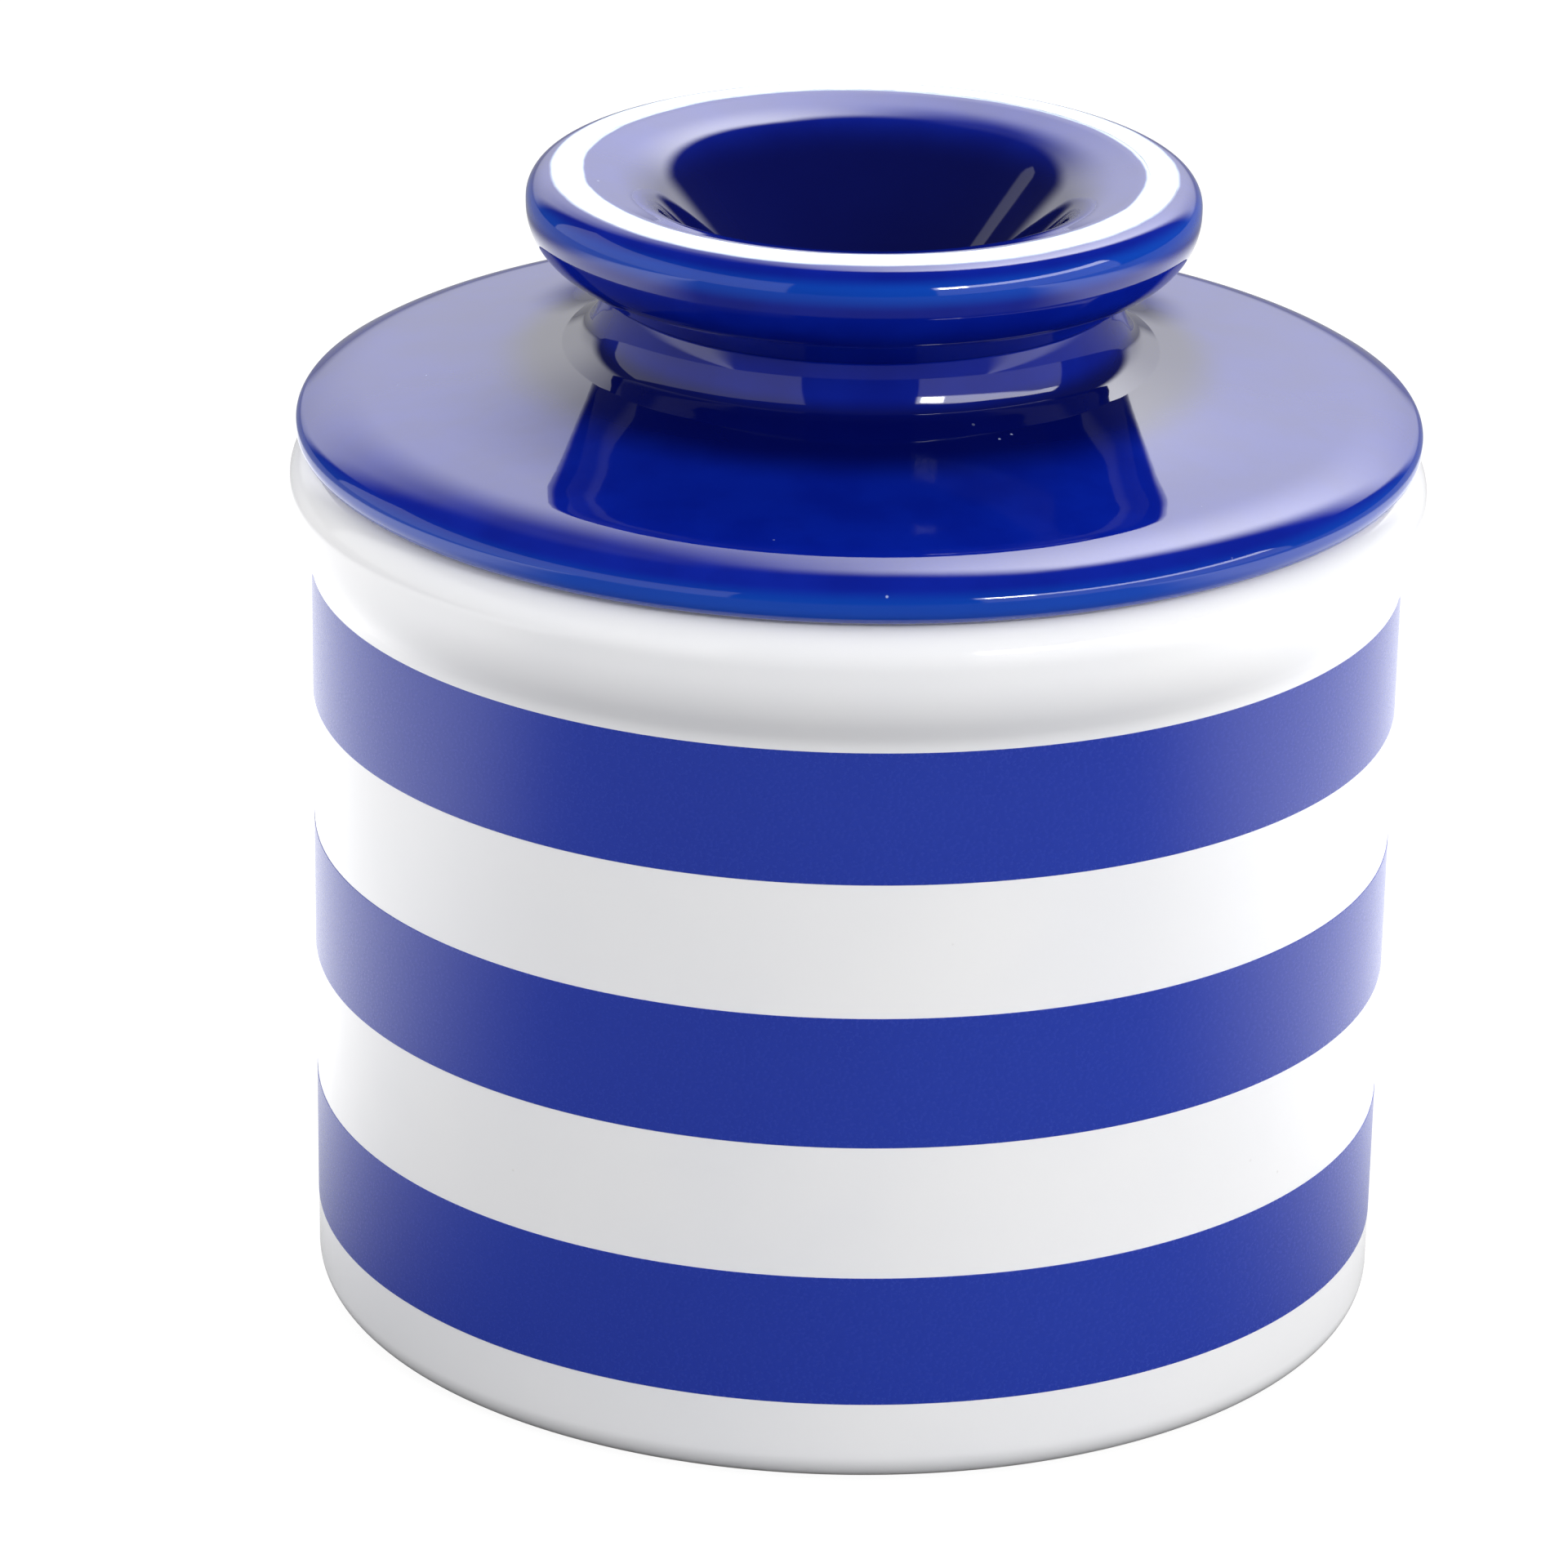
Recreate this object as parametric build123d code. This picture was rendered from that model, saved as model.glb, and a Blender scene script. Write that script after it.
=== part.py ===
"""A butter crock: a glazed stoneware pot with three blue transfer bands, and a lift-off lid that
carries a hollow flared knob on top and a butter cup hanging below into the pot.

Millimetres. z = 0 is the plane that the pot's foot stands on, and +Z is the axis of every piece.
Each piece is turned about that axis from an outline of (radius, height, corner radius) corners.
"""

from build123d import *
import os
from math import radians, tan

# ---- pot ----
wall_radius_low = 51.95        # outside radius of the wall, carried down to the table
wall_radius_high = 52.5        # outside radius of the wall just below the rolled rim
wall_top = 74.4                # where the wall turns out into the rim
rim_radius = 54.76             # the widest point of the pot
rim_shoulder_height = 78.7     # corner where the rim's slope turns upright
pot_height = 86.4              # crest of the rim, on which the lid rests
mouth_radius = 47.8            # inside radius of the pot's mouth
well_radius = 46.9             # inside radius of the pot at its floor
floor_height = 6.5             # inside floor of the pot
foot_radius = 44.5             # inside radius of the foot ring
foot_recess = 1.8              # depth of the hollow under the base
foot_recess_round = 1.2
foot_inner_round = 0.8
foot_outer_round = 3.0
wall_top_round = 5.0
rim_shoulder_round = 10.0
rim_outer_round = 4.0
mouth_round = 2.5
well_round = 6.0

# ---- transfer bands ----
band_height = 13.0
band_gap = 13.25
lowest_band_start = 8.4
band_thickness = 0.3

# ---- lid ----
lid_radius = 54.03
lid_crown_height = 95.84       # height of the lid's top where it meets the knob's foot
lid_crown_slope = 18.0         # degrees of fall there
lid_dish_radius = 37.0         # where that fall eases into the flatter outer part
lid_dish_round = 70.0
lid_shelf_slope = 6.5          # degrees of fall of the flatter outer part
lid_shoulder_radius = 50.4     # where the top rolls over towards the edge
lid_shoulder_round = 13.0
lid_roll_slope = 32.0          # degrees of fall beyond the shoulder
lid_edge_round = 1.6
lid_seat_radius = 46.2         # inside edge of the flat seat that rests on the rim
lid_web_radius = 33.0          # edge of the flat underside that the cup is stuck to
lid_web_height = 91.0          # height of that flat underside
lid_web_round = 4.0
lid_seat_inner_round = 1.0
lid_seat_outer_round = 1.6
socket_depth = 2.0             # the knob's foot is let into the lid by this much

# ---- knob, a hollow flared ring that is also the foot of the lid turned over ----
knob_foot_radius = 28.6
knob_foot_slope = 28.0         # degrees, the rise of the foot towards the neck
foot_crease_radius = 26.2      # where the foot turns up into the neck
foot_crease_round = 3.0
neck_flare_radius = 25.0       # the neck widens below this point
neck_flare_height = 99.5
neck_flare_round = 8.0
neck_radius = 24.85
neck_top = 101.9               # where the neck meets the underside of the lip
neck_top_round = 0.3
lip_radius = 32.17
lip_slope = 32.9               # degrees, the underside of the lip above level
lip_under_round = 6.0
lip_side_round = 2.6
lip_top_slope = 18.0           # degrees of fall from the crest out towards the lip's side
crest_edge_radius = 29.0       # where the crest turns down on to that slope
crest_edge_round = 5.0
knob_height = 113.3            # crest of the lip, and the highest point of the crock
brim_radius = 27.37            # where the crest turns down on to the hollow's sloping brim
brim_round = 2.5
throat_radius = 21.5           # where the brim rolls over into the hollow's steep funnel
throat_height = 112.0
throat_round = 9.0
hollow_floor = 98.0
hollow_floor_radius = 8.4
hollow_floor_round = 5.0

# ---- bare ring on the knob's crest, wiped free of glaze ----
bare_ring_inside = 26.9
bare_ring_outside = 29.8
bare_ring_depth = 0.7

# ---- butter cup ----
cup_wall = 3.7
cup_shoulder_radius = 25.7     # inside radius under the closed end
cup_waist_radius = 26.3        # inside radius where the flare starts
cup_mouth_radius = 30.6        # inside radius at the mouth
cup_waist_height = 45.0
cup_mouth_height = 18.0
cup_base_thickness = 3.5
cup_mouth_round = 1.5
cup_shoulder_round = 8.0
cup_flare_round = 60.0


def turned(corners):
    """A solid of revolution about +Z from (radius, height, corner radius) corners."""
    points = [(radius, height) for radius, height, _ in corners]
    rounds = [corner for _, _, corner in corners]
    outline = FilletPolyline(*points, radius=rounds, close=True)
    return revolve(Plane.XZ * make_face(outline), Axis.Z, 360)


def tube(inside, outside, low, high):
    """A plain tube about +Z."""
    return turned([(inside, low, 0), (outside, low, 0), (outside, high, 0), (inside, high, 0)])


def wall_radius(height):
    """Outside radius of the pot's slightly tapered wall."""
    return wall_radius_low + (wall_radius_high - wall_radius_low) * height / wall_top


def make_pot():
    """Wall, rolled rim, floor and foot ring, with the bands' places still filled."""
    return turned([
        (0, foot_recess, 0),
        (foot_radius - foot_recess, foot_recess, foot_recess_round),
        (foot_radius, 0, foot_inner_round),
        (wall_radius_low, 0, foot_outer_round),
        (wall_radius_high, wall_top, wall_top_round),
        (rim_radius, rim_shoulder_height, rim_shoulder_round),
        (rim_radius, pot_height, rim_outer_round),
        (mouth_radius, pot_height, mouth_round),
        (well_radius, floor_height, well_round),
        (0, floor_height, 0),
    ])


def make_band(low):
    """One transfer band, inlaid flush with the wall."""
    high = low + band_height
    return turned([
        (wall_radius(low) - band_thickness, low, 0),
        (wall_radius(low), low, 0),
        (wall_radius(high), high, 0),
        (wall_radius(high) - band_thickness, high, 0),
    ])


def fall(slope, run):
    """Drop of a surface that slopes by so many degrees over a horizontal run."""
    return tan(radians(slope)) * run


def make_lid_disc():
    """Disc with a dished top and a rounded edge, a flat seat, a hollow underside and a socket."""
    dish_height = lid_crown_height - fall(lid_crown_slope, lid_dish_radius - knob_foot_radius)
    shoulder_height = dish_height - fall(lid_shelf_slope, lid_shoulder_radius - lid_dish_radius)
    edge_height = shoulder_height - fall(lid_roll_slope, lid_radius - lid_shoulder_radius)
    socket_floor = lid_crown_height - socket_depth
    return turned([
        (0, lid_web_height, 0),
        (lid_web_radius, lid_web_height, lid_web_round),
        (lid_seat_radius, pot_height, lid_seat_inner_round),
        (lid_radius, pot_height, lid_seat_outer_round),
        (lid_radius, edge_height, lid_edge_round),
        (lid_shoulder_radius, shoulder_height, lid_shoulder_round),
        (lid_dish_radius, dish_height, lid_dish_round),
        (knob_foot_radius, lid_crown_height, 0),
        (knob_foot_radius, socket_floor, 0),
        (0, socket_floor, 0),
    ])


def make_whole_knob():
    """Foot, waisted neck, flared lip and hollow, with the bare ring's place still filled."""
    socket_floor = lid_crown_height - socket_depth
    crease_height = lid_crown_height + fall(knob_foot_slope, knob_foot_radius - foot_crease_radius)
    lip_low = neck_top + fall(lip_slope, lip_radius - neck_radius)
    lip_high = knob_height - fall(lip_top_slope, lip_radius - crest_edge_radius)
    return turned([
        (0, socket_floor, 0),
        (knob_foot_radius, socket_floor, 0),
        (knob_foot_radius, lid_crown_height, 0),
        (foot_crease_radius, crease_height, foot_crease_round),
        (neck_flare_radius, neck_flare_height, neck_flare_round),
        (neck_radius, neck_top, neck_top_round),
        (lip_radius, lip_low, lip_under_round),
        (lip_radius, lip_high, lip_side_round),
        (crest_edge_radius, knob_height, crest_edge_round),
        (brim_radius, knob_height, brim_round),
        (throat_radius, throat_height, throat_round),
        (hollow_floor_radius, hollow_floor, hollow_floor_round),
        (0, hollow_floor, 0),
    ])


def make_butter_cup():
    """A bell-shaped cup, mouth down, stuck by its closed end to the lid's underside."""
    ceiling = lid_web_height - cup_base_thickness
    return turned([
        (0, lid_web_height, 0),
        (0, ceiling, 0),
        (cup_shoulder_radius, ceiling, cup_shoulder_round),
        (cup_waist_radius, cup_waist_height, cup_flare_round),
        (cup_mouth_radius, cup_mouth_height, cup_mouth_round),
        (cup_mouth_radius + cup_wall, cup_mouth_height, cup_mouth_round),
        (cup_waist_radius + cup_wall, cup_waist_height, cup_flare_round),
        (cup_shoulder_radius + cup_wall, lid_web_height, cup_shoulder_round),
    ])


def make_parts():
    """Every piece of the crock by name."""
    band_names = ["lower_band", "middle_band", "upper_band"]
    band_step = band_height + band_gap
    bands = {
        name: make_band(lowest_band_start + index * band_step)
        for index, name in enumerate(band_names)
    }
    pot = make_pot()
    for band in bands.values():
        pot = pot - band

    knob = make_whole_knob()
    above_crest = knob_height + 1
    crest = tube(bare_ring_inside, bare_ring_outside, knob_height - bare_ring_depth, above_crest)
    return {
        "crock_body": pot,
        **bands,
        "lid_disc": make_lid_disc(),
        "knob": knob - crest,
        "knob_bare_ring": knob & crest,
        "butter_cup": make_butter_cup(),
    }


os.makedirs("parts", exist_ok=True)
for node, shape in make_parts().items():
    shape.label = node
    export_step(shape, f"parts/{node}.step")
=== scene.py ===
import bpy
import math
from mathutils import Matrix, Vector, noise


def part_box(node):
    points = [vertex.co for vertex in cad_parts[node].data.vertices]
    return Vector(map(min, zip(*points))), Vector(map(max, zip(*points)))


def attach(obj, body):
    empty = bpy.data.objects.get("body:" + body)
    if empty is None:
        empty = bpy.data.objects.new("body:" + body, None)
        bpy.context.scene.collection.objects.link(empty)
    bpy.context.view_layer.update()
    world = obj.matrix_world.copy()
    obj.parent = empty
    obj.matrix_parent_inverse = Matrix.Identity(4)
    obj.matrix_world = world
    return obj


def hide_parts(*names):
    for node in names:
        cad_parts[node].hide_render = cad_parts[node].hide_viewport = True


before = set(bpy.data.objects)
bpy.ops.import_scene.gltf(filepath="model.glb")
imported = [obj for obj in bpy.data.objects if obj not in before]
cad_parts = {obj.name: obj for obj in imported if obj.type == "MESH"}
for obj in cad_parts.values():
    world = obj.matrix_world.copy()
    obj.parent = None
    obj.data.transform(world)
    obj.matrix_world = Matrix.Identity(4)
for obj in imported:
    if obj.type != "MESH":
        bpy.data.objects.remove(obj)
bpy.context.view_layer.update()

MM = 0.001
TURNS = 288              # segments round the axis of every turned piece
WAVE = 0.035             # millimetres of hand-made unevenness in the turned pieces

# ---- driving sizes, millimetres, read from the frame where a node's box gives them ----
pot_low, pot_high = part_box("crock_body")
lid_low, lid_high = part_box("lid_disc")
knob_low, knob_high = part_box("knob")
cup_low, cup_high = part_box("butter_cup")
ring_low, ring_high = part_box("knob_bare_ring")

rim_radius = pot_high.x / MM
pot_height = pot_high.z / MM
lid_radius = lid_high.x / MM
lip_radius = knob_high.x / MM
knob_height = ring_high.z / MM          # the bare ring is the crest
cup_mouth_height = cup_low.z / MM
cup_top_height = cup_high.z / MM
ring_outside = ring_high.x / MM
ring_width = 2.9
ring_inside = ring_outside - ring_width

# ---- sizes that no box gives, the same as the CAD's ----
wall_radius_low, wall_radius_high, wall_top = 51.95, 52.5, 74.4
foot_radius, foot_recess = 44.5, 1.8
rim_shoulder_height = 78.7
mouth_radius, well_radius, well_floor = 47.8, 46.9, 6.5
crown_height, crown_slope = 95.84, 18.0        # the lid's top where it meets the knob
dish_radius, shelf_slope = 37.0, 6.5
shoulder_radius, roll_slope = 50.4, 32.0
lid_seat_radius, lid_web_radius, lid_web_height = 46.2, 33.0, 91.0
knob_seat_height, knob_foot, knob_foot_slope = 94.0, 28.6, 28.0
crease_radius = 26.2
flare_radius, flare_height = 25.0, 99.5
neck_radius, neck_top, lip_slope = 24.85, 101.9, 32.9
crest_edge_radius, brim_radius = 29.0, 27.37
throat_radius, throat_height = 21.5, 112.0
hollow_floor_radius, hollow_floor = 8.4, 98.0
cup_wall, cup_base, cup_waist_height = 3.7, 3.5, 45.0
cup_shoulder_radius, cup_waist_radius = 25.7, 26.3

# ---- what the glaze and the wiping do, millimetres ----
band_film = 0.05         # the transfer stands this proud of the wall
band_root = 0.1          # and its hidden edge lies this deep
glaze_dip = 0.3          # the glaze's surface sinks under the bare ring
glaze_dip_run = 0.5
ring_sunk = 0.06
ring_depth = 0.7


def rounded(corners, step=4.0, chord=0.5):
    """Points along an outline of (radius, height, corner radius) corners, with true arcs at them."""
    points = []
    for index, (radius, height, bend) in enumerate(corners):
        here = Vector((radius, height))
        if bend == 0 or index in (0, len(corners) - 1):
            points.append(here)
            continue
        before = (Vector(corners[index - 1][:2]) - here).normalized()
        after = (Vector(corners[index + 1][:2]) - here).normalized()
        half = before.angle(after) / 2
        reach = bend / math.tan(half)
        centre = here + (before + after).normalized() * (bend / math.sin(half))
        start, end = here + before * reach - centre, here + after * reach - centre
        sweep = math.pi - 2 * half
        count = max(3, math.ceil(math.degrees(sweep) / step), math.ceil(bend * sweep / chord))
        for k in range(count + 1):
            f = k / count
            arm = (start * math.sin((1 - f) * sweep) + end * math.sin(f * sweep)) / math.sin(sweep)
            points.append(centre + arm)
    return points


def on_crest(point):
    """Whether a point of the knob's outline is on or near the wiped ring."""
    beside, below = 0.5, 1.2
    return ring_inside - beside < point.x < ring_outside + beside and point.y > knob_height - below


def divided(points, longest=1.5, fine=0.12):
    """The same outline with its long stretches cut up, and cut finely along the wiped ring."""
    out = [points[0]]
    for a, b in zip(points, points[1:]):
        count = max(1, math.ceil((b - a).length / (fine if on_crest(a) and on_crest(b) else longest)))
        out += [a.lerp(b, k / count) for k in range(1, count + 1)]
    return out


def turned(name, outline, wobble=0.0):
    """A mesh turned about +Z from an outline in millimetres, closed where it meets the axis."""
    on_axis, wave_length = 1e-6, 30.0
    verts, rings = [], []
    for point in outline:
        if point.x < on_axis:
            rings.append([len(verts)])
            verts.append(Vector((0, 0, point.y)))
            continue
        rings.append(range(len(verts), len(verts) + TURNS))
        for k in range(TURNS):
            a = 2 * math.pi * k / TURNS
            verts.append(Vector((point.x * math.cos(a), point.x * math.sin(a), point.y)))
    faces = []
    for low, high in zip(rings, rings[1:]):
        for k in range(TURNS):
            n = (k + 1) % TURNS
            if len(low) == 1:
                faces.append((low[0], high[n], high[k]))
            elif len(high) == 1:
                faces.append((low[k], low[n], high[0]))
            else:
                faces.append((low[k], low[n], high[n], high[k]))
    if wobble:
        verts = [v + noise.noise_vector(v / wave_length) * wobble for v in verts]
    mesh = bpy.data.meshes.new(name)
    mesh.from_pydata([v * MM for v in verts], [], faces)
    mesh.update()
    mesh.shade_smooth()
    piece = bpy.data.objects.new(name, mesh)
    bpy.context.scene.collection.objects.link(piece)
    return piece


def wall_radius(height):
    return wall_radius_low + (wall_radius_high - wall_radius_low) * height / wall_top


def make_pot():
    return turned("glazed_pot", divided(rounded([
        (0, foot_recess, 0), (foot_radius - foot_recess, foot_recess, 1.2),
        (foot_radius, 0, 0.8), (wall_radius_low, 0, 3.0), (wall_radius_high, wall_top, 5.0),
        (rim_radius, rim_shoulder_height, 10.0), (rim_radius, pot_height, 4.0),
        (mouth_radius, pot_height, 2.5), (well_radius, well_floor, 6.0), (0, well_floor, 0),
    ])))


def make_band(name, node):
    low, high = (corner.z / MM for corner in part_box(node))
    edge_round = band_film * 0.9
    return turned(name, divided(rounded([
        (wall_radius(low) - band_root, low, 0), (wall_radius(low) + band_film, low, edge_round),
        (wall_radius(high) + band_film, high, edge_round), (wall_radius(high) - band_root, high, 0),
    ])))


def fall(degrees, run):
    """Drop of a surface that slopes by so many degrees over a level run."""
    return math.tan(math.radians(degrees)) * run


def make_lid_disc():
    """The lid's disc, whose top runs on a little way under the knob's foot."""
    dish_height = crown_height - fall(crown_slope, dish_radius - knob_foot)
    shoulder_height = dish_height - fall(shelf_slope, shoulder_radius - dish_radius)
    edge_height = shoulder_height - fall(roll_slope, lid_radius - shoulder_radius)
    tucked = 27.0
    return turned("glazed_lid_disc", divided(rounded([
        (0, lid_web_height, 0), (lid_web_radius, lid_web_height, 4.0),
        (lid_seat_radius, pot_height, 1.0), (lid_radius, pot_height, 1.6),
        (lid_radius, edge_height, 1.6), (shoulder_radius, shoulder_height, 13.0),
        (dish_radius, dish_height, 70.0),
        (tucked, crown_height + fall(crown_slope, knob_foot - tucked), 0),
        (tucked, knob_seat_height, 0), (0, knob_seat_height, 0),
    ]), longest=0.8), WAVE)


def knob_crest():
    """Outline corners of the knob's lip, over its crest and down into the hollow."""
    lip_top_slope = 18.0
    return [
        (neck_radius, neck_top, 0.3),
        (lip_radius, neck_top + fall(lip_slope, lip_radius - neck_radius), 6.0),
        (lip_radius, knob_height - fall(lip_top_slope, lip_radius - crest_edge_radius), 2.6),
        (crest_edge_radius, knob_height, 5.0), (brim_radius, knob_height, 2.5),
        (throat_radius, throat_height, 9.0), (hollow_floor_radius, hollow_floor, 5.0),
        (0, hollow_floor, 0),
    ]


def make_knob():
    """The knob, its foot feathered into the lid's glaze and its crest wiped back for the bare ring."""
    feather, sunk = 29.8, 0.05
    outline = divided(rounded([
        (0, knob_seat_height, 0), (feather, knob_seat_height, 0),
        (feather, crown_height - fall(crown_slope, feather - knob_foot) - sunk, 0),
        (knob_foot, crown_height, 1.5),
        (crease_radius, crown_height + fall(knob_foot_slope, knob_foot - crease_radius), 3.0),
        (flare_radius, flare_height, 8.0),
    ] + knob_crest()), longest=0.6)
    for point in outline:
        if on_crest(point):
            near_edge = min(point.x - ring_inside, ring_outside - point.x)
            point.y -= glaze_dip * min(max(near_edge / glaze_dip_run, 0.0), 1.0)
    return turned("glazed_knob", outline, WAVE)


def make_cup():
    ceiling, mouth_outside = cup_top_height - cup_base, 34.3
    return turned("glazed_butter_cup", divided(rounded([
        (0, ceiling, 0), (cup_shoulder_radius, ceiling, 8.0),
        (cup_waist_radius, cup_waist_height, 60.0), (mouth_outside - cup_wall, cup_mouth_height, 1.5),
        (mouth_outside, cup_mouth_height, 1.5), (cup_waist_radius + cup_wall, cup_waist_height, 60.0),
        (cup_shoulder_radius + cup_wall, cup_top_height, 8.0), (0, cup_top_height, 0),
    ])))


def make_bare_ring():
    """The wiped ring of bare clay on the knob's crest, a hair below the glaze on either side."""
    surface = [
        point for point in divided(rounded(knob_crest()))
        if on_crest(point) and ring_inside <= point.x <= ring_outside
    ]
    crest = [Vector((point.x, point.y - ring_sunk)) for point in surface]
    root = knob_height - ring_depth
    foot = [Vector((crest[-1].x, root)), Vector((crest[0].x, root))]
    return turned("bare_clay_ring", crest + foot + crest[:1], WAVE)


class Graph:
    """Builds a node tree: every method adds one node and gives back its output socket."""

    def __init__(self, tree):
        self.tree = tree

    def add(self, kind, inputs=(), output=0, **settings):
        node = self.tree.nodes.new(kind)
        for setting, value in settings.items():
            setattr(node, setting, value)
        for socket, value in dict(inputs).items():
            if isinstance(value, bpy.types.NodeSocket):
                self.tree.links.new(value, node.inputs[socket])
            elif value is not None:
                node.inputs[socket].default_value = value
        return node.outputs[output]

    def math(self, operation, a, b=None, clamp=False):
        return self.add("ShaderNodeMath", {0: a, 1: b}, operation=operation, use_clamp=clamp)

    def ramp(self, value, low, high, to_low=0.0, to_high=1.0):
        """A smooth step of value from low to high."""
        return self.add("ShaderNodeMapRange", {
            "Value": value, "From Min": low, "From Max": high, "To Min": to_low, "To Max": to_high,
        }, interpolation_type="SMOOTHSTEP")

    def mix(self, factor, first, second):
        return self.add("ShaderNodeMix", {"Factor": factor, "A": first, "B": second}, "Result",
                        data_type="RGBA")

    def noise(self, place, scale, detail=2.0, rough=0.5):
        return self.add("ShaderNodeTexNoise", {
            "Vector": place, "Scale": scale, "Detail": detail, "Roughness": rough,
        }, "Fac")

    def place(self):
        """Position in metres, the axis-distance and the height in millimetres."""
        point = self.add("ShaderNodeTexCoord", output="Object")
        parts = self.tree.nodes.new("ShaderNodeSeparateXYZ")
        self.tree.links.new(point, parts.inputs[0])
        x, y, z = parts.outputs
        flat = self.math("SQRT", self.math("ADD", self.math("MULTIPLY", x, x), self.math("MULTIPLY", y, y)))
        return point, self.math("MULTIPLY", flat, 1 / MM), self.math("MULTIPLY", z, 1 / MM)

    def bump(self, height, distance, strength=1.0, normal=None):
        return self.add("ShaderNodeBump", {
            "Height": height, "Distance": distance, "Strength": strength, "Normal": normal,
        })


def material(name):
    """A new material with its node builder and its shader."""
    made = bpy.data.materials.new(name)
    made.use_nodes = True
    return made, Graph(made.node_tree), made.node_tree.nodes["Principled BSDF"]


def dress(graph, shader, sockets):
    for socket, value in sockets.items():
        if isinstance(value, bpy.types.NodeSocket):
            graph.tree.links.new(value, shader.inputs[socket])
        else:
            shader.inputs[socket].default_value = value


def cobalt_glaze():
    """Deep glossy blue, lighter where it thins over a rim, with painted shade darkening it in the knob's
    hollow and round its foot.
    """
    made, g, shader = material("cobalt_glaze")
    point, radius, height = g.place()
    mottle = g.noise(point, 160.0, 3.0)
    cloud = g.noise(point, 45.0, 2.0)

    # thin on the knob's side and on the lid's edge
    lip_side = g.math("MULTIPLY", g.ramp(radius, 30.4, 31.4),
                      g.math("MULTIPLY", g.ramp(height, 112.4, 111.3), g.ramp(height, 109.2, 110.6)))
    lid_side = g.math("MULTIPLY", g.ramp(radius, 52.9, 54.0), g.ramp(height, 90.4, 88.3))
    thin = g.math("MULTIPLY", g.math("ADD", lip_side, lid_side, True), g.ramp(cloud, 0.25, 0.7, 0.75, 1.0))

    # painted shade: darker blue in the knob's hollow and round its foot, and not on the cup below
    bowl = g.math("MULTIPLY", g.ramp(radius, 24.0, 18.5), g.ramp(height, 97.6, 97.9))
    foot = g.math("MULTIPLY", g.ramp(height, 99.0, 97.0), g.ramp(height, 91.6, 92.8))
    foot = g.math("MULTIPLY", foot, g.ramp(radius, 36.0, 30.5))
    painted_recess_shade = g.math("ADD", g.math("MULTIPLY", bowl, 0.9), g.math("MULTIPLY", foot, 0.85), True)

    shade_blue, thin_blue = (0.0005, 0.0014, 0.050, 1), (0.0022, 0.052, 0.40, 1)
    full = g.mix(g.ramp(mottle, 0.3, 0.7), (0.0012, 0.0085, 0.215, 1), (0.0016, 0.0115, 0.25, 1))
    body = g.mix(thin, g.mix(painted_recess_shade, full, shade_blue), thin_blue)

    # the glaze feathers out to a pale line on either side of the wiped ring
    ragged = g.math("ADD", radius, g.ramp(g.noise(point, 120.0, 2.0), 0.2, 0.8, -0.12, 0.12))
    outer = g.math("MULTIPLY", g.ramp(ragged, ring_outside + 0.3, ring_outside - 0.2),
                   g.ramp(radius, 27.0, 28.0))
    inner = g.math("MULTIPLY", g.ramp(ragged, ring_inside - 0.3, ring_inside + 0.1),
                   g.ramp(radius, 29.5, 28.5))
    edge = g.math("MULTIPLY", g.math("MAXIMUM", outer, inner),
                  g.ramp(height, knob_height - 1.6, knob_height - 1.0))
    body = g.mix(edge, body, (0.62, 0.76, 0.92, 1))

    # a few pale specks in the glaze
    specks = g.add("ShaderNodeTexVoronoi", {"Vector": point, "Scale": 520.0, "Randomness": 1.0}, "Distance")
    dot = g.math("MULTIPLY", g.ramp(specks, 0.10, 0.05), g.ramp(g.noise(point, 95.0, 1.0), 0.66, 0.70))
    body = g.mix(g.math("MULTIPLY", dot, 0.55), body, (0.55, 0.62, 0.85, 1))

    orange_peel = g.bump(g.noise(point, 210.0, 2.0), 0.00008, 0.10)
    dress(g, shader, {
        "Base Color": body, "Roughness": g.ramp(mottle, 0.25, 0.75, 0.025, 0.05), "IOR": 1.52,
        "Normal": g.bump(g.noise(point, 34.0, 1.0), 0.0006, 0.12, orange_peel),
    })
    return made


def white_glaze():
    """Clear glaze over white stoneware, left off the foot ring."""
    made, g, shader = material("white_glaze")
    point, radius, height = g.place()
    cloud = g.noise(point, 30.0, 3.0)
    mottle = g.noise(point, 260.0, 2.0)
    glazed = g.mix(g.ramp(cloud, 0.3, 0.7), (0.83, 0.835, 0.86, 1), (0.87, 0.87, 0.88, 1))

    # a few pin holes in the glaze
    pits = g.add("ShaderNodeTexVoronoi", {"Vector": point, "Scale": 380.0, "Randomness": 1.0}, "Distance")
    pit = g.math("MULTIPLY", g.ramp(pits, 0.08, 0.03), g.ramp(g.noise(point, 80.0, 1.0), 0.66, 0.7))
    glazed = g.mix(g.math("MULTIPLY", pit, 0.35), glazed, (0.55, 0.53, 0.5, 1))

    # the foot ring is bare, rough clay
    bare = g.math("MULTIPLY", g.ramp(height, 0.9, 0.3), g.ramp(radius, 43.0, 44.4))
    clay = g.mix(g.ramp(g.noise(point, 700.0, 4.0), 0.3, 0.7), (0.56, 0.53, 0.48, 1), (0.68, 0.65, 0.6, 1))
    rough = g.math("ADD", g.ramp(mottle, 0.25, 0.75, 0.06, 0.10), g.math("MULTIPLY", bare, 0.6))
    orange_peel = g.bump(mottle, 0.00006, 0.12)
    dress(g, shader, {
        "Base Color": g.mix(bare, glazed, clay), "Roughness": rough, "IOR": 1.5,
        "Normal": g.bump(g.noise(point, 26.0, 1.0), 0.0008, 0.10, orange_peel),
    })
    return made


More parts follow.
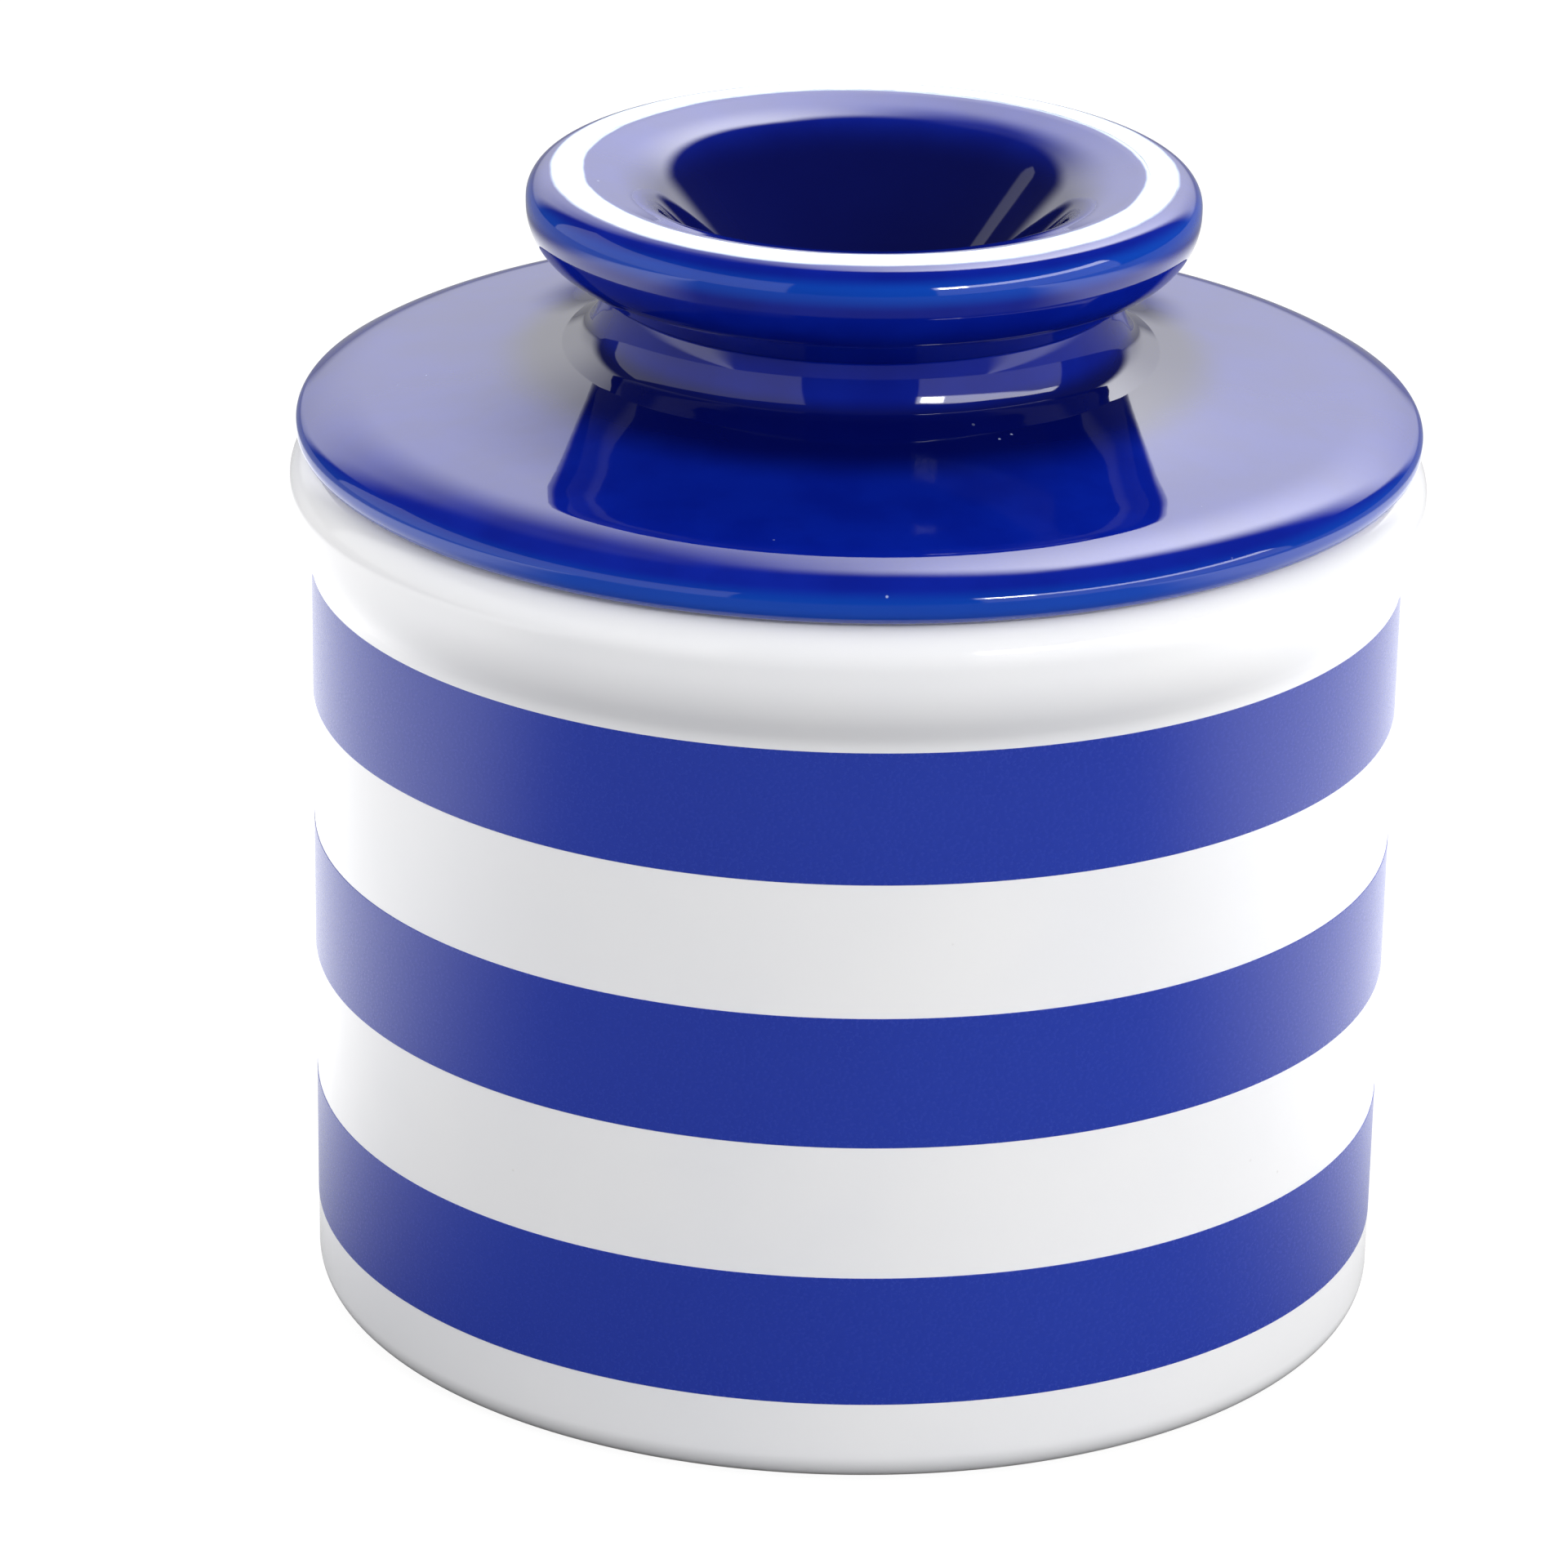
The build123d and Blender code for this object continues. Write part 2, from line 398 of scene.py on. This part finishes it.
def band_print():
    """Satin blue transfer under a thin glaze."""
    made, g, shader = material("band_blue")
    point = g.place()[0]
    grain = g.noise(point, 2600.0, 2.0, 0.6)
    cloud = g.noise(point, 22.0, 2.0)
    ink = g.mix(g.ramp(grain, 0.25, 0.75), (0.0145, 0.036, 0.335, 1), (0.0160, 0.039, 0.352, 1))
    ink = g.mix(g.ramp(cloud, 0.3, 0.75, 0.0, 0.35), ink, (0.016, 0.046, 0.385, 1))
    dress(g, shader, {
        "Base Color": ink, "Roughness": g.ramp(grain, 0.2, 0.8, 0.24, 0.29), "IOR": 1.45,
        "Normal": g.bump(grain, 0.00002, 0.04),
    })
    return made


def bare_clay():
    """Wiped porcelain-white clay, tinted by the glaze at both edges of the ring."""
    made, g, shader = material("bare_clay")
    point, radius, _ = g.place()
    grain = g.noise(point, 1100.0, 4.0, 0.6)
    ragged = g.math("ADD", radius, g.ramp(g.noise(point, 300.0, 3.0), 0.2, 0.8, -0.25, 0.25))
    tint = g.math("MAXIMUM", g.ramp(ragged, ring_outside - 0.6, ring_outside + 0.1),
                  g.ramp(ragged, ring_inside + 0.4, ring_inside - 0.1))
    clay = g.mix(g.ramp(grain, 0.3, 0.7), (0.90, 0.90, 0.90, 1), (0.96, 0.96, 0.955, 1))
    dress(g, shader, {
        "Base Color": g.mix(g.math("MULTIPLY", tint, 0.7), clay, (0.50, 0.60, 0.82, 1)),
        "Roughness": 0.55, "Normal": g.bump(grain, 0.00003, 0.3),
    })
    return made


def enter(piece, body, node, coat):
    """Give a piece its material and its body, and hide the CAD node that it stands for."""
    piece.data.materials.append(coat)
    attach(piece, body)
    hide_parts(node)


white, band_ink, cobalt, clay = white_glaze(), band_print(), cobalt_glaze(), bare_clay()
enter(make_pot(), "crock", "crock_body", white)
for node in ("lower_band", "middle_band", "upper_band"):
    enter(make_band(node + "_print", node), "crock", node, band_ink)
for piece, node in ((make_lid_disc(), "lid_disc"), (make_knob(), "knob"), (make_cup(), "butter_cup")):
    enter(piece, "lid", node, cobalt)
enter(make_bare_ring(), "lid", "knob_bare_ring", clay)


# ---- floor, light and camera ----
def make_floor():
    """Plain paper: white to the camera, bright beside and behind the crock, dim in front of it."""
    reach = 6.0
    corners = [(-reach, -reach, 0), (reach, -reach, 0), (reach, reach, 0), (-reach, reach, 0)]
    mesh = bpy.data.meshes.new("studio_floor")
    mesh.from_pydata(corners, [], [(0, 1, 2, 3)])
    floor = bpy.data.objects.new("studio_floor", mesh)
    bpy.context.scene.collection.objects.link(floor)

    paper, g, shader = material("floor_paper")
    seen = g.add("ShaderNodeLightPath", output="Is Camera Ray")
    spot = g.tree.nodes.new("ShaderNodeSeparateXYZ")
    g.tree.links.new(g.add("ShaderNodeTexCoord", output="Object"), spot.inputs[0])
    aside = g.math("MULTIPLY", g.math("ABSOLUTE", spot.outputs["X"]), 0.7)
    away = g.math("ADD", spot.outputs["Y"], aside)
    glow = g.math("MULTIPLY", g.ramp(away, -0.01, 0.14, 0.0, 1.6), g.ramp(away, 0.27, 0.42, 1.0, 0.1))
    unseen_glow = g.math("MULTIPLY", g.math("SUBTRACT", 1.0, seen), glow)
    dress(g, shader, {
        "Base Color": g.mix(seen, (0.16, 0.16, 0.165, 1), (0.12, 0.12, 0.12, 1)),
        "Roughness": 1.0, "Specular IOR Level": 0.0, "Emission Color": (1, 1, 1, 1),
        "Emission Strength": g.math("ADD", g.math("MULTIPLY", seen, 0.93), unseen_glow),
    })
    floor.data.materials.append(paper)


# softboxes: from and to azimuth, from and to elevation, soft edge (degrees), radiance
LAMPS = (
    (-125, -25, -2, 36, 0.6, 0.8),
    (25, 95, -2, 30, 0.6, 0.8),
    (25, 95, 22, 30, 1.0, 6.0),
    (27, 37, 23, 29, 0.8, 45.0),
)


def studio_light():
    """Soft light by direction: a bright sweep behind and above, and a softbox on either side."""
    world = bpy.data.worlds.new("studio")
    bpy.context.scene.world = world
    world.use_nodes = True
    g = Graph(world.node_tree)
    split = g.tree.nodes.new("ShaderNodeSeparateXYZ")
    g.tree.links.new(g.add("ShaderNodeTexCoord", output="Generated"), split.inputs[0])
    x, y, z = split.outputs
    to_degrees = 180 / math.pi
    elevation = g.math("MULTIPLY", g.math("ARCSINE", z), to_degrees)
    azimuth = g.math("MULTIPLY", g.math("ARCTAN2", x, g.math("MULTIPLY", y, -1.0)), to_degrees)
    turn = g.math("MODULO", g.math("ADD", azimuth, 360.0), 360.0)       # 180 is straight behind
    sweep = g.math("MULTIPLY", g.math("ARCTAN2", z, y), to_degrees)     # 0 behind, 90 overhead

    def window(value, low, high, edge):
        """1 between low and high, with soft edges."""
        return g.math("MULTIPLY", g.ramp(value, low - edge, low + edge),
                      g.ramp(value, high + edge, high - edge))

    # the sweep behind brightens upwards, and towards the right on its upper part
    lean = g.math("MULTIPLY", g.ramp(turn, 146.0, 208.0, 1.0, -1.0), g.ramp(sweep, 14.0, 55.0, 0.10, 0.95))
    behind = g.math("MULTIPLY", window(sweep, 0.0, 69.0, 5.0), g.ramp(sweep, -12.0, 75.0, 0.6, 5.2))
    behind = g.math("MULTIPLY", behind, g.math("ADD", lean, 1.0))
    behind = g.math("MULTIPLY", behind, window(turn, 144.0, 216.0, 6.0))
    total = g.math("ADD", behind, 0.06)
    for az_low, az_high, el_low, el_high, edge, radiance in LAMPS:
        shape = g.math("MULTIPLY", window(azimuth, az_low, az_high, edge),
                       window(elevation, el_low, el_high, edge))
        total = g.math("ADD", total, g.math("MULTIPLY", shape, radiance))

    # a soft fill, stronger from the left, that matt and pale surfaces catch
    rays = g.tree.nodes.new("ShaderNodeLightPath")
    fill = g.math("MULTIPLY", rays.outputs["Is Diffuse Ray"], g.ramp(x, -0.9, 0.5, 0.72, 0.60))
    total = g.math("ADD", total, fill)

    # the camera itself sees plain white
    seen = rays.outputs["Is Camera Ray"]
    shown = g.math("ADD", g.math("MULTIPLY", total, g.math("SUBTRACT", 1.0, seen)), seen)
    background = g.tree.nodes["Background"]
    g.tree.links.new(shown, background.inputs["Strength"])
    background.inputs["Color"].default_value = (1, 1, 1, 1)


make_floor()
studio_light()
bpy.context.scene.view_settings.view_transform = "Standard"


def make_camera():
    """The viewing angle: a long lens, a little above the lid, turned and rolled by a hair."""
    distance, height = 0.76750, 0.34576
    pitch, yaw, roll = (math.radians(x) for x in (21.04, -0.494, 1.028))
    forward = Vector((math.sin(yaw) * math.cos(pitch), math.cos(yaw) * math.cos(pitch), -math.sin(pitch)))
    level = Vector((math.cos(yaw), -math.sin(yaw), 0))
    upward = level.cross(forward)
    right = math.cos(roll) * level + math.sin(roll) * upward
    top = math.cos(roll) * upward - math.sin(roll) * level
    lens = bpy.data.cameras.new("view")
    lens.sensor_width = 36.0
    lens.lens = 193.44
    camera = bpy.data.objects.new("view", lens)
    camera.matrix_world = Matrix((right, top, -forward)).transposed().to_4x4()
    camera.location = (0, -distance, height)
    bpy.context.scene.collection.objects.link(camera)
    bpy.context.scene.camera = camera


make_camera()
